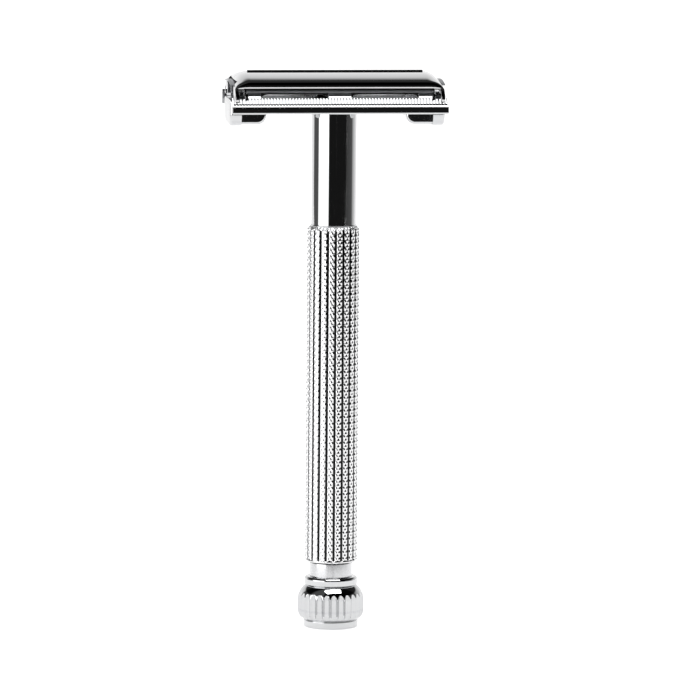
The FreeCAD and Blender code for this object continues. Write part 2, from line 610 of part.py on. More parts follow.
def friction_washer():
    """Washer under the bush that gives the knob its drag."""
    return tube(GRIP_BORE - RUNNING_GAP, JOURNAL_RADIUS + RUNNING_GAP, COLLAR_TOP_Z + RUNNING_GAP, BUSH_BOTTOM_Z)


def knob_collar():
    """Plain collar between knob and grip."""
    collar = tube(COLLAR_RADIUS, SPIGOT_RADIUS, COLLAR_BOTTOM_Z, COLLAR_TOP_Z)
    rim = math.pi * (COLLAR_RADIUS + SPIGOT_RADIUS)
    return round_edges(collar, COLLAR_EASE,
                       lambda e: e.CenterOfMass.z > COLLAR_TOP_Z - TINY and e.Length > rim)


def turned(runs):
    """Solid of revolution about the handle's axis.

    The half section is a chain of runs of (radius, z) points: two points make a line, three an arc.
    """
    edges = []
    for run in runs:
        points = [Vector(radius, 0, z) for radius, z in run]
        edges.append(Part.makeLine(*points) if len(points) == 2 else Part.Arc(*points).toShape())
    return Part.Face(Part.Wire(edges)).revolve(Vector(0, 0, 0), Vector(0, 0, 1), 360)


def knob_body():
    """The knob before fluting: foot ring, ball and upper ring."""
    diagonal = 1.0 - math.sqrt(0.5)
    foot = [(FOOT_RADIUS - FOOT_EASE, 0), (FOOT_RADIUS - FOOT_EASE * diagonal, FOOT_EASE * diagonal),
            (FOOT_RADIUS, FOOT_EASE)]
    lower = [(BALL_FOOT_RADIUS, FOOT_HEIGHT), BALL_LOW_POINT, (BALL_RADIUS, BALL_LOW_Z)]
    upper = [(BALL_RADIUS, BALL_HIGH_Z), BALL_HIGH_POINT, (BALL_NECK_RADIUS, KNOB_RING_BOTTOM_Z)]
    crown = [(KNOB_RING_RADIUS, COLLAR_BOTTOM_Z - KNOB_RING_EASE),
             (KNOB_RING_RADIUS - KNOB_RING_EASE * diagonal, COLLAR_BOTTOM_Z - KNOB_RING_EASE * diagonal),
             (KNOB_RING_RADIUS - KNOB_RING_EASE, COLLAR_BOTTOM_Z)]
    ledge = (KNOB_RING_RADIUS, KNOB_RING_BOTTOM_Z)
    chain = [[(0, 0), foot[0]], foot, [foot[-1], (FOOT_RADIUS, FOOT_HEIGHT)],
             [(FOOT_RADIUS, FOOT_HEIGHT), lower[0]], lower, [lower[-1], upper[0]], upper,
             [upper[-1], ledge], [ledge, crown[0]], crown, [crown[-1], (0, COLLAR_BOTTOM_Z)],
             [(0, COLLAR_BOTTOM_Z), (0, 0)]]
    return turned(chain)


def knob():
    """Ball knob with pointed upright flutes, pressed onto the spindle."""
    body = knob_body()
    centre = BALL_RADIUS + KNOB_FLUTE_RADIUS - KNOB_FLUTE_DEPTH
    flute = post(KNOB_FLUTE_RADIUS, KNOB_FLUTE_LOW_Z, KNOB_FLUTE_HIGH_Z, 0, -centre)
    point = Part.makeCone(KNOB_FLUTE_RADIUS, 0, KNOB_FLUTE_POINT, Vector(0, -centre, KNOB_FLUTE_HIGH_Z))
    flute = flute.fuse(point)
    cuts = [around_axis(flute, index, KNOB_FLUTES) for index in range(KNOB_FLUTES)]
    cuts.append(post(SPIGOT_RADIUS, SPIGOT_END_Z, COLLAR_BOTTOM_Z + MARGIN))
    return body.cut(cuts)


def save(name, shape):
    """Write one node of the assembly."""
    if isinstance(shape, list):
        shape = Part.makeCompound(shape)
    shape.exportStep(os.path.join("parts", name + ".step"))


os.makedirs("parts", exist_ok=True)
save("base_plate", base_plate())
save("razor_blade", razor_blade())
save("front_door", door(-1))
save("rear_door", door(1))
save("front_door_hinge_pins", hinge_pins(-1))
save("rear_door_hinge_pins", hinge_pins(1))
save("front_door_cam_pins", cam_pins(-1))
save("rear_door_cam_pins", cam_pins(1))
save("end_cap_left", end_cap(-1))
save("end_cap_right", end_cap(1))
save("lift_bar", lift_bar())
save("lift_bar_rivets", [rivet(end) for end in SIDES])
save("lift_stem", lift_stem())
save("neck_tube", neck_tube())
save("stem_guide_bush", guide_bush())
save("grip_sleeve", grip_sleeve())
save("spindle", spindle())
save("bottom_bush", bottom_bush())
save("thrust_washer", thrust_washer())
save("friction_washer", friction_washer())
save("knob_collar", knob_collar())
save("knob", knob())
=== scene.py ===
import json
import math

import bmesh
import bpy
from mathutils import Matrix, Vector


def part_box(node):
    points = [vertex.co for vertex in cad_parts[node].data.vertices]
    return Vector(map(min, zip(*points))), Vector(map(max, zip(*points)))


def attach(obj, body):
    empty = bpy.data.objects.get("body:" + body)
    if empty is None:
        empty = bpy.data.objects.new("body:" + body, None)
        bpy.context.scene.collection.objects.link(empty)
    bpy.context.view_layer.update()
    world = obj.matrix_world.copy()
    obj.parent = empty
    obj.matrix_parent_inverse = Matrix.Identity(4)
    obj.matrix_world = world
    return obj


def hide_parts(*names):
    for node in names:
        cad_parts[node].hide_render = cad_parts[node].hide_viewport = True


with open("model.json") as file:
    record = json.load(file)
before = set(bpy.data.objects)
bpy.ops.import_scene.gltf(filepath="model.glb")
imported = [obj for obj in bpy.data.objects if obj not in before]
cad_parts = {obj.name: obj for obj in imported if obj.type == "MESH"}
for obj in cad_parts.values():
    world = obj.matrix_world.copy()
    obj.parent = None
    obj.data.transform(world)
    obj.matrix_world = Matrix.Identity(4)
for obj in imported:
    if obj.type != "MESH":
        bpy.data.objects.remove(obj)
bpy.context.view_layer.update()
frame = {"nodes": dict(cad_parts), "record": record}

# Shapes below are worked out in millimetres and stored in metres.
MM = 0.001
CREASE = 32.0                  # degrees between faces that shade as an edge
BEVEL_ANGLE = 40.0
SIDES = (-1, 1)


def node_box(name):
    """Corners of a CAD node in millimetres."""
    low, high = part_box(name)
    return [value / MM for value in low], [value / MM for value in high]


def hinge_axes():
    """Each door's hinge axis by side, as (distance from the middle, height)."""
    axes = {}
    for joint in frame["record"]["behaviour"]["joints"]:
        if joint["type"] == "hinge" and joint["axis"][0]:
            _, y, z = joint["pos_m"]
            axes[1 if y > 0 else -1] = (abs(y) / MM, z / MM)
    return axes


# ---- sizes read from the frame ----
grip_low, grip_high = node_box("grip_sleeve")
neck_low, neck_high = node_box("neck_tube")
collar_low, collar_high = node_box("knob_collar")
knob_high = node_box("knob")[1]
base_low, base_high = node_box("base_plate")
door_high = node_box("front_door")[1]
GRIP_RADIUS, _, GRIP_TOP = grip_high
GRIP_BOTTOM = grip_low[2]
NECK_RING, _, NECK_TOP = neck_high
NECK_SPIGOT = neck_low[2]
BALL_RADIUS, _, KNOB_TOP = knob_high
GUARD_HALF, GUARD_OUTER, _ = base_high
BASE_BOTTOM = base_low[2]
DOOR_HALF_LENGTH, _, DOOR_RIDGE_TOP = door_high
PIVOT = hinge_axes()

# ---- camera and studio ----
CAMERA_AZIMUTH = -5.9          # degrees round the razor, left of the front
CAMERA_DISTANCE = 1551.0
CAMERA_HEIGHT = 255.0
CAMERA_LENS = 401.0
CAMERA_ROLL = 0.46
AIM_RIGHT = 3.5                # the aim point lies this far right of the handle's axis
AIM_HEIGHT = 56.1
SENSOR = 36.0
FLOOR_HALF_WIDTH = 600.0
FLOOR_FRONT = 420.0
FLOOR_BACK = 3000.0
STUDIO_STRENGTH = 1.05
FLOOR_GLOW = 0.7               # as the razor sees it
FLOOR_GLOW_TO_CAMERA = 1.0

# Brightness round the horizon, in degrees to the right of the camera as seen from the razor.
ROUND_THE_STUDIO = [(-180, 1.0), (-130, 1.0), (-121, 0.10), (-88, 0.10), (-78, 2.6), (-31, 2.6), (-25, 0.01),
                    (64, 0.01), (70, 0.06), (104, 0.10), (112, 0.45), (145, 1.0), (180, 1.0)]
# Share of that brightness left at each height above the horizon, in degrees.
UP_THE_STUDIO = [(-90, 1.0), (0, 1.0), (8, 1.0), (25, 0.68), (30, 0.03), (90, 0.03)]

# ---- metal finishes ----
CLOUD_SCALE = 260.0            # cloudy patches in the polish
CLOUD_TINT = 0.35              # how far they pull the colour towards the darker one
GRAIN_STRENGTH = 0.35
EDGE_FLAT, EDGE_SHARP = 0.52, 0.62  # pointiness of a flat surface and of a worn edge
WORN_ROUGHNESS = 0.2           # extra roughness on a fully worn edge

# ---- grip ----
GROOVES = 20
GROOVE_HALF = 0.25
GROOVE_WALL = 0.12
GROOVE_DEPTH = 0.32
GROOVE_START = 0.45            # above the grip's foot
GROOVE_RUN_IN = 0.2
KNURL_WIDTH = 0.75
KNURL_HEIGHT = 1.3
KNURL_DEPTH = 0.15
GRIP_COLUMNS = 14              # per groove
KNURL_ROWS = 12                # per diamond
GRIP_BORE = 3.6
GRIP_CHAMFER = 0.6
GRIP_FOOT_CHAMFER = 0.3
GRIP_SHOULDER_RADIUS = 4.75
# Painted shade in the grip's grooves and knurl valleys: share of the metal's colour left at each depth below
# the grip's surface, deepest first.
PAINTED_HOLLOW_SHADE = [(0.32, 0.01), (0.24, 0.02), (0.19, 0.4), (0.14, 0.95), (0.0, 1.0)]

# ---- neck and collar ----
NECK_BORE = 2.9
NECK_RING_HEIGHT = 0.32
NECK_RING_PROUD = 0.18
RING_EASE = 0.02
COLLAR_BORE = 2.0
COLLAR_EDGE = 0.12             # its lower edge; the upper one is rounder
COLLAR_ROUND = 0.25

# ---- knob ----
KNOB_BORE = 2.0
FOOT_RADIUS = 5.5
FOOT_EDGE = 0.4
FOOT_HEIGHT = 1.4              # the foot ring's plain side ends here
FOOT_TOP_EDGE = 0.18
BALL_FOOT = 1.7
BALL_SIDE_LOW = 3.6            # the ball's side is upright between these heights
BALL_SIDE_HIGH = 5.6
BALL_SHOULDER = 7.6            # height that the shoulder's curve is pulled towards
BALL_NECK_RADIUS = 4.9
RING_LOW = 8.75
RING_RADIUS = 5.375
RING_LOW_EDGE = 0.15
RING_TOP_EDGE = 0.55
KNOB_FLUTES = 28
KNOB_COLUMNS = 14              # per flute
FLUTE_RADIUS = 0.72
FLUTE_DEPTH = 0.6
FLUTE_LOW = 1.9
FLUTE_HIGH = 6.0
FLUTE_TAPER = 3.0

# ---- doors ----
DOOR_TOP_RADIUS = 41.0
DOOR_CORNER_RADIUS = 1.1       # the front edge is rolled under
DOOR_CORNER_START = 13.0
DOOR_CORNER_END = 128.0
DOOR_THICKNESS = 0.6
DOOR_FLAT_HALF = 17.6
DOOR_LIP_HEIGHT = 109.34
DOOR_TOP = 112.15
SEAM_GAP = 0.03
RIDGE_WIDTH = 0.42
TAB_NOTCH_HALF = 6.8
TAB_NOTCH_TOP = 110.8
TAB_NOTCH_START = 18.0
NOTCH_SPARE = 0.5

# ---- door hinges ----
EAR_INNER = 20.1
EAR_BOSS = 1.3
EAR_HEEL = 0.95
EAR_HEEL_INBOARD = 3.1         # cam pin to hinge pin
EAR_WEB_TOP = 1.85             # above the hinge pin
EAR_WEB_NEAR = 0.4
EAR_HOLLOW = 1.4               # room in the guard for the boss to swing
EAR_GAP = 0.1

# ---- guard bars ----
GUARD_PITCH = 0.61
GUARD_FLUTES = 70
GUARD_COLUMNS = 12             # per flute
GUARD_FLUTE_HALF = 0.26
GUARD_FLUTE_DEPTH = 0.19
GUARD_FLUTE_LEAN = (0.77, 0.64)  # flutes cut in square to the slope
GUARD_INNER = 11.0
GUARD_TOP = 107.92
GUARD_BAND = 106.12
GUARD_FOOT = (12.82, 106.24)
GUARD_CREST = (11.4, 107.92)
GUARD_BEAD = 0.35
GUARD_FLUTE_END = 0.24         # share of the slope, from its foot, that stays smooth
GUARD_FLUTE_FADE = 0.1

# ---- blade bed ----
BED_RADIUS = 37.0
BED_TOP = 110.5
BED_THICKNESS = 0.9
BED_HALF_WIDTH = 10.0
BED_HALF_LENGTH = 19.0
BED_WALL = 0.8
FLANGE = 0.9
CHANNEL_HALF_WIDTH = 4.3       # room for the lift bar under the bed
WINDOW_LOW, WINDOW_HIGH = 106.05, 108.45
WINDOW_INNER, WINDOW_OUTER = 2.3, 15.7
BRIDGE_OUTER = 18.6
BRIDGE_TOP = 108.8
LINING_THICKNESS = 0.3
END_WALL_INNER = 18.33
END_WALL_OUTER_Y = 11.6
END_WALL_EASE = 0.4
END_WALL_STEP = (10.1, 9.9)    # how far out its inner step starts and ends
END_WALL_LEDGE = 108.9
END_WALL_CROWN = 109.57
END_WALL_RISE = 1.0            # above the hinge pin
NECK_FLOOR_HALF = (7.0, 9.9)
NECK_FLOOR_THICKNESS = 0.45
STEM_HOLE_RADIUS = 2.1
STEM_HOLE_ENDS = (104.0, 107.0)
LUG_X = 13.0
LUG_RADIUS = 1.7
LUG_HEIGHT = 0.45
LUG_SUNK = 0.55
LUG_EDGE = 0.12
AXIS_HOLE = 0.02               # turned pieces are closed round a hair-thin hole
SKIN = 0.02                    # keeps pieces of one casting from sharing a face


def arc(centre, radius, start, end, steps):
    """Points (a, b) on an arc; angles in degrees outward from straight up."""
    points = []
    for index in range(steps + 1):
        turn = math.radians(start + (end - start) * index / steps)
        points.append((centre[0] + radius * math.sin(turn), centre[1] + radius * math.cos(turn)))
    return points


def line(start, end, steps):
    """Evenly spaced points from start up to, but without, end."""
    return [tuple(a + (b - a) * index / steps for a, b in zip(start, end)) for index in range(steps)]


def shell_mesh(name, verts, faces):
    """Mesh from points in millimetres, its faces turned outward."""
    mesh = bpy.data.meshes.new(name)
    mesh.from_pydata([(x * MM, y * MM, z * MM) for x, y, z in verts], [], faces)
    work = bmesh.new()
    work.from_mesh(mesh)
    bmesh.ops.recalc_face_normals(work, faces=work.faces)
    work.to_mesh(mesh)
    work.free()
    return mesh


def shade(mesh, crease):
    """Smooth shading, but for edges where faces meet at more than crease degrees."""
    mesh.polygons.foreach_set("use_smooth", [True] * len(mesh.polygons))
    mesh.set_sharp_from_angle(angle=math.radians(crease))


def piece(name, shells, material, body, replaced=(), crease=CREASE, bevel=0.0):
    """One visible piece made of closed shells, each a (vertices, faces) pair."""
    verts = []
    faces = []
    for shell_verts, shell_faces in shells:
        base = len(verts)
        verts.extend(shell_verts)
        faces.extend([base + index for index in face] for face in shell_faces)
    mesh = shell_mesh(name, verts, faces)
    shade(mesh, crease)
    mesh.materials.append(material)
    obj = bpy.data.objects.new(name, mesh)
    bpy.context.scene.collection.objects.link(obj)
    if bevel:
        soften(obj, bevel)
    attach(obj, body)
    if replaced:
        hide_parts(*replaced)
    return obj


def soften(obj, width):
    """Small rounded edges with clean shading."""
    rounding = obj.modifiers.new("rounding", "BEVEL")
    rounding.width = width * MM
    rounding.segments = 3
    rounding.limit_method = "ANGLE"
    rounding.angle_limit = math.radians(BEVEL_ANGLE)
    rounding.harden_normals = True


def carve(obj, cutters):
    """Cuts closed shells out of a piece and applies the result."""
    for verts, faces in cutters:
        cutter = bpy.data.objects.new("cutter", shell_mesh("cutter", verts, faces))
        bpy.context.scene.collection.objects.link(cutter)
        cut = obj.modifiers.new("cut", "BOOLEAN")
        cut.operation = "DIFFERENCE"
        cut.solver = "EXACT"
        cut.object = cutter
        graph = bpy.context.evaluated_depsgraph_get()
        result = bpy.data.meshes.new_from_object(obj.evaluated_get(graph), depsgraph=graph)
        obj.modifiers.remove(cut)
        obj.data = result
        bpy.data.objects.remove(cutter)
    shade(obj.data, CREASE)


def lathe(profile, columns, radius_at=None):
    """Closed ring of quads from a closed (radius, z) profile turned about the handle's axis."""
    verts = []
    for radius, z in profile:
        for column in range(columns):
            turn = 2.0 * math.pi * column / columns
            here = radius_at(radius, z, turn) if radius_at else radius
            verts.append((here * math.sin(turn), -here * math.cos(turn), z))
    faces = []
    rows = len(profile)
    for row in range(rows):
        below = row * columns
        above = (row + 1) % rows * columns
        for column in range(columns):
            after = (column + 1) % columns
            faces.append((below + column, below + after, above + after, above + column))
    return verts, faces


def skin(near, far):
    """Closed shell between two matching rings of points."""
    count = len(near)
    faces = [tuple(range(count)), tuple(range(2 * count - 1, count - 1, -1))]
    for index in range(count):
        after = (index + 1) % count
        faces.append((index, index + count, after + count, after))
    return near + far, faces


def prism(outline, x0, x1):
    """Closed (y, z) outline given a thickness along X."""
    return skin([(x0, y, z) for y, z in outline], [(x1, y, z) for y, z in outline])


def block(x0, x1, y0, y1, z0, z1):
    """Rectangular shell."""
    return prism([(y0, z0), (y1, z0), (y1, z1), (y0, z1)], x0, x1)


def bar_along_x(centre, radius, x0, x1, steps=48):
    """Round shell lying along X."""
    return prism(arc(centre, radius, 0, 360, steps)[:-1], x0, x1)


# ---------------------------------------------------------------- materials

def shader(name):
    """New node material: (material, its nodes, its links, its principled node)."""
    material = bpy.data.materials.new(name)
    material.use_nodes = True
    nodes = material.node_tree.nodes
    return material, nodes, material.node_tree.links, nodes["Principled BSDF"]


def noise(nodes, links, scale, detail=4.0, stretch=(1.0, 1.0, 1.0)):
    """Noise in object space, scaled per metre."""
    coordinates = nodes.new("ShaderNodeTexCoord")
    mapping = nodes.new("ShaderNodeMapping")
    mapping.inputs["Scale"].default_value = stretch
    texture = nodes.new("ShaderNodeTexNoise")
    texture.inputs["Scale"].default_value = scale
    texture.inputs["Detail"].default_value = detail
    links.new(coordinates.outputs["Object"], mapping.inputs["Vector"])
    links.new(mapping.outputs["Vector"], texture.inputs["Vector"])
    return texture.outputs["Fac"]


def spread(nodes, links, value, low, high, from_low=0.3, from_high=0.7):
    """Maps a 0-1 value onto a range."""
    ranged = nodes.new("ShaderNodeMapRange")
    ranged.inputs["From Min"].default_value = from_low
    ranged.inputs["From Max"].default_value = from_high
    ranged.inputs["To Min"].default_value = low
    ranged.inputs["To Max"].default_value = high
    links.new(value, ranged.inputs["Value"])
    return ranged.outputs["Result"]


def colour_ramp(nodes, links, value, stops):
    """Grey levels at places from 0 to 1 along a value."""
    ramp = nodes.new("ShaderNodeValToRGB")
    elements = ramp.color_ramp.elements
    while len(elements) < len(stops):
        elements.new(0.5)
    for element, (place, level) in zip(elements, stops):
        element.position = place
        element.color = (level, level, level, 1.0)
    links.new(value, ramp.inputs["Fac"])
    return ramp.outputs["Color"]


def metal(name, colour, dark, roughness, grain, grain_height, stretch=(1.0, 1.0, 1.0), wear=0.0):
    """Metal with clouded roughness, a fine grain and slightly duller, darker worn edges.

    Roughness is a (low, high) pair, grain is per metre and its height in millimetres.
    """
    material, nodes, links, surface = shader(name)
    surface.inputs["Metallic"].default_value = 1.0
    cloud = noise(nodes, links, CLOUD_SCALE, 5.0)
    fine = noise(nodes, links, grain, 3.0, stretch)
    mixed = nodes.new("ShaderNodeMix")
    mixed.data_type = "RGBA"
    mixed.inputs["A"].default_value = (*colour, 1.0)
    mixed.inputs["B"].default_value = (*dark, 1.0)
    geometry = nodes.new("ShaderNodeNewGeometry")
    pointiness = geometry.outputs["Pointiness"]
    edge = spread(nodes, links, pointiness, 0.0, wear, EDGE_FLAT, EDGE_SHARP)
    tint = nodes.new("ShaderNodeMath")
    tint.operation = "MULTIPLY_ADD"
    tint.inputs[1].default_value = CLOUD_TINT
    links.new(cloud, tint.inputs[0])
    links.new(edge, tint.inputs[2])
    links.new(tint.outputs[0], mixed.inputs["Factor"])
    links.new(mixed.outputs["Result"], surface.inputs["Base Color"])
    rough = nodes.new("ShaderNodeMath")
    rough.operation = "ADD"
    links.new(spread(nodes, links, cloud, *roughness), rough.inputs[0])
    worn = spread(nodes, links, pointiness, 0.0, wear * WORN_ROUGHNESS, EDGE_FLAT, EDGE_SHARP)
    links.new(worn, rough.inputs[1])
    links.new(rough.outputs[0], surface.inputs["Roughness"])
    bump = nodes.new("ShaderNodeBump")
    bump.inputs["Strength"].default_value = GRAIN_STRENGTH
    bump.inputs["Distance"].default_value = grain_height * MM
    links.new(fine, bump.inputs["Height"])
    links.new(bump.outputs["Normal"], surface.inputs["Normal"])
    return material


def paint_shade_in_hollows(material, top, stops):
    """Painted shade: darkens a turned surface's colour below the height top by its distance from the handle's
    axis, so its recesses read dark.

    Millimetres; stops are (distance, share of colour) pairs.
    """
    nodes = material.node_tree.nodes
    links = material.node_tree.links
    surface = nodes["Principled BSDF"]
    coordinates = nodes.new("ShaderNodeTexCoord")
    flat = nodes.new("ShaderNodeVectorMath")
    flat.operation = "MULTIPLY"
    flat.inputs[1].default_value = (1.0 / MM, 1.0 / MM, 0.0)
    length = nodes.new("ShaderNodeVectorMath")
    length.operation = "LENGTH"
    links.new(coordinates.outputs["Object"], flat.inputs[0])
    links.new(flat.outputs["Vector"], length.inputs[0])
    low, high = stops[0][0], stops[-1][0]
    distance = spread(nodes, links, length.outputs["Value"], 0.0, 1.0, low, high)
    places = [((stop - low) / (high - low), share) for stop, share in stops]
    painted_shade = colour_ramp(nodes, links, distance, places)
    shaded = nodes.new("ShaderNodeMix")
    shaded.data_type = "RGBA"
    shaded.blend_type = "MULTIPLY"
    height = nodes.new("ShaderNodeSeparateXYZ")
    links.new(coordinates.outputs["Object"], height.inputs[0])
    below = nodes.new("ShaderNodeMath")
    below.operation = "LESS_THAN"
    below.inputs[1].default_value = top * MM
    links.new(height.outputs["Z"], below.inputs[0])
    links.new(below.outputs[0], shaded.inputs["Factor"])
    links.new(surface.inputs["Base Color"].links[0].from_socket, shaded.inputs["A"])
    links.new(painted_shade, shaded.inputs["B"])
    links.new(shaded.outputs["Result"], surface.inputs["Base Color"])


def floor_material():
    """Pale matt sweep, evenly lit, with a trace of mottling."""
    material, nodes, links, surface = shader("pale_sweep")
    cloud = noise(nodes, links, 6.0)
    mottle = nodes.new("ShaderNodeMix")
    mottle.data_type = "RGBA"
    mottle.inputs["A"].default_value = (0.90, 0.90, 0.90, 1.0)
    mottle.inputs["B"].default_value = (0.94, 0.94, 0.94, 1.0)
    links.new(cloud, mottle.inputs["Factor"])
    links.new(mottle.outputs["Result"], surface.inputs["Base Color"])
    links.new(mottle.outputs["Result"], surface.inputs["Emission Color"])
    rays = nodes.new("ShaderNodeLightPath")
    glow = spread(nodes, links, rays.outputs["Is Camera Ray"], FLOOR_GLOW, FLOOR_GLOW_TO_CAMERA, 0.0, 1.0)
    links.new(glow, surface.inputs["Emission Strength"])
    surface.inputs["Roughness"].default_value = 0.9
    surface.inputs["Specular IOR Level"].default_value = 0.1
    return material


CHROME = metal("chrome_plate", colour=(0.69, 0.695, 0.70), dark=(0.63, 0.635, 0.65),
               roughness=(0.02, 0.06), grain=2600.0, grain_height=0.004, wear=0.5)
# Chrome for the grip, its colour raised well above the plain chrome's as painted light on the knurl's crests;
# the hollows below get painted shade.
KNURLED_PAINTED_LIGHT = metal("chrome_knurled_painted_light", colour=(0.94, 0.945, 0.95), dark=(0.86, 0.86, 0.88),
                roughness=(0.03, 0.09), grain=2600.0, grain_height=0.006, wear=0.5)
SATIN = metal("chrome_satin", colour=(0.74, 0.745, 0.755), dark=(0.66, 0.665, 0.68),
              roughness=(0.16, 0.26), grain=1400.0, grain_height=0.01, stretch=(1.0, 1.0, 9.0), wear=0.4)
BLADE = metal("blade_steel", colour=(0.62, 0.64, 0.66), dark=(0.50, 0.51, 0.53),
              roughness=(0.16, 0.30), grain=900.0, grain_height=0.01, stretch=(0.15, 6.0, 1.0), wear=0.6)
STEEL = metal("pin_steel", colour=(0.60, 0.61, 0.63), dark=(0.42, 0.43, 0.45),
              roughness=(0.18, 0.34), grain=1500.0, grain_height=0.01, wear=0.6)
BRASS = metal("brass", colour=(0.80, 0.62, 0.32), dark=(0.52, 0.37, 0.16),
              roughness=(0.2, 0.4), grain=1200.0, grain_height=0.012, wear=0.6)


# ---------------------------------------------------------------- handle

def place_on_grip(turn):
    """Distances round the grip from the nearest groove's middle and from the land's middle."""
    sector = 2.0 * math.pi / GROOVES
    offset = (turn + sector / 2.0) % sector - sector / 2.0
    land = turn % sector - sector / 2.0
    return abs(offset) * GRIP_RADIUS, land * GRIP_RADIUS


def clamp(value):
    """Value kept between 0 and 1."""
    return min(1.0, max(0.0, value))


def saw(value):
    """1 at whole numbers, 0 half-way between them."""
    return abs(value % 1.0 - 0.5) * 2.0


def grip_radius(radius, z, turn):
    """Grip surface: lengthwise grooves, and diamond knurling on the lands between them."""
    if radius <= GRIP_BORE or z <= GRIP_BOTTOM:
        return radius
    from_groove, across = place_on_grip(turn)
    inside = clamp((GROOVE_HALF + GROOVE_WALL / 2.0 - from_groove) / GROOVE_WALL)
    foot = clamp((z - GRIP_BOTTOM - GROOVE_START) / GROOVE_RUN_IN)
    first = saw(across / KNURL_WIDTH + z / KNURL_HEIGHT)
    second = saw(across / KNURL_WIDTH - z / KNURL_HEIGHT)
    knurl = KNURL_DEPTH * max(first, second)
    return min(GRIP_RADIUS - foot * inside * GROOVE_DEPTH, radius - foot * (1.0 - inside) * knurl)


def grip():
    """Knurled and grooved sleeve."""
    step = KNURL_HEIGHT / KNURL_ROWS
    low = GRIP_BOTTOM + GRIP_FOOT_CHAMFER
    high = GRIP_TOP - GRIP_CHAMFER
    rows = int((high - low) / step)
    profile = [(GRIP_BORE, GRIP_BOTTOM), (GRIP_RADIUS - GRIP_FOOT_CHAMFER, GRIP_BOTTOM)]
    profile += [(GRIP_RADIUS, low + index * step) for index in range(rows)]
    profile += line((GRIP_RADIUS, high), (GRIP_SHOULDER_RADIUS, GRIP_TOP), 8)
    profile += [(GRIP_SHOULDER_RADIUS, GRIP_TOP), (GRIP_BORE, GRIP_TOP)]
    return lathe(profile, GROOVES * GRIP_COLUMNS, grip_radius)


def neck_ring(z, start):
    """Half-round ring outline, up from the angle start to 150 degrees further round."""
    half = NECK_RING_HEIGHT / 2.0
    turns = [math.radians(angle) for angle in range(start, start + 151, 15)]
    return [(NECK_RING - half + half * math.cos(turn), z + half * math.sin(turn)) for turn in turns]


def neck():
    """Polished neck with a small ring at each end and a spigot in the grip."""
    half = NECK_RING_HEIGHT / 2.0
    body = NECK_RING - NECK_RING_PROUD
    spigot = GRIP_BORE - RING_EASE / 2.0
    profile = [(NECK_BORE, NECK_SPIGOT), (spigot, NECK_SPIGOT), (spigot, GRIP_TOP)]
    profile += [(NECK_RING - 2.0 * RING_EASE, GRIP_TOP)]
    profile += neck_ring(GRIP_TOP + half, -60)
    profile += [(body, GRIP_TOP + NECK_RING_HEIGHT + RING_EASE)]
    profile += [(body, NECK_TOP - NECK_RING_HEIGHT - RING_EASE)]
    profile += neck_ring(NECK_TOP - half, -90)
    profile += [(NECK_RING - 3.0 * RING_EASE, NECK_TOP), (NECK_BORE, NECK_TOP)]
    return lathe(profile, 192)


def collar():
    """Plain collar with eased edges."""
    radius, _, high = collar_high
    low = collar_low[2]
    profile = [(COLLAR_BORE, low), (radius - COLLAR_EDGE, low), (radius, low + COLLAR_EDGE)]
    profile += [(radius, high - COLLAR_ROUND)]
    profile += arc((radius - COLLAR_ROUND, high - COLLAR_ROUND), COLLAR_ROUND, 75, 0, 5)
    profile += [(COLLAR_BORE, high)]
    return lathe(profile, 160)


def knob_radius(radius, z, turn):
    """Knob surface: pointed upright flutes in the ball."""
    if not FLUTE_LOW < z < FLUTE_HIGH + FLUTE_TAPER:
        return radius
    sector = 2.0 * math.pi / KNOB_FLUTES
    offset = (turn + sector / 2.0) % sector - sector / 2.0
    centre = BALL_RADIUS + FLUTE_RADIUS - FLUTE_DEPTH
    size = FLUTE_RADIUS * min(1.0, 1.0 - (z - FLUTE_HIGH) / FLUTE_TAPER)
    reach = size * size - (centre * math.sin(offset)) ** 2
    if reach <= 0.0:
        return radius
    return min(radius, centre * math.cos(offset) - math.sqrt(reach))


def knob():
    """Foot ring, fluted ball and upper ring."""
    profile = [(KNOB_BORE, 0.0), (FOOT_RADIUS - FOOT_EDGE, 0.0)]
    profile += arc((FOOT_RADIUS - FOOT_EDGE, FOOT_EDGE), FOOT_EDGE, 165, 90, 6)
    profile += [(FOOT_RADIUS, FOOT_HEIGHT)]
    profile += arc((FOOT_RADIUS - FOOT_TOP_EDGE, FOOT_HEIGHT + 0.02), FOOT_TOP_EDGE, 80, 10, 4)
    profile += [(FOOT_RADIUS - 0.22, BALL_FOOT - 0.04)]
    profile += curve(Vector((FOOT_RADIUS - 0.2, BALL_FOOT)), Vector((BALL_RADIUS, 2.0)),
                     Vector((BALL_RADIUS, BALL_SIDE_LOW)), 14)
    profile += line((BALL_RADIUS, BALL_SIDE_LOW), (BALL_RADIUS, BALL_SIDE_HIGH), 14)
    profile += curve(Vector((BALL_RADIUS, BALL_SIDE_HIGH)), Vector((BALL_RADIUS, BALL_SHOULDER)),
                     Vector((BALL_NECK_RADIUS, RING_LOW)), 26)
    profile += [(BALL_NECK_RADIUS + 0.05, RING_LOW), (RING_RADIUS - RING_LOW_EDGE, RING_LOW)]
    profile += arc((RING_RADIUS - RING_LOW_EDGE, RING_LOW + RING_LOW_EDGE), RING_LOW_EDGE, 165, 90, 4)
    profile += arc((RING_RADIUS - RING_TOP_EDGE, KNOB_TOP - RING_TOP_EDGE), RING_TOP_EDGE, 90, 0, 10)
    profile += [(KNOB_BORE, KNOB_TOP)]
    return lathe(profile, KNOB_FLUTES * KNOB_COLUMNS, knob_radius)


def curve(start, bend, end, steps):
    """Points of a quadratic curve from start to end, pulled towards bend."""
    points = []
    for index in range(steps + 1):
        share = index / steps
        first = start.lerp(bend, share)
        second = bend.lerp(end, share)
        points.append(tuple(first.lerp(second, share)))
    return points


# ---------------------------------------------------------------- head

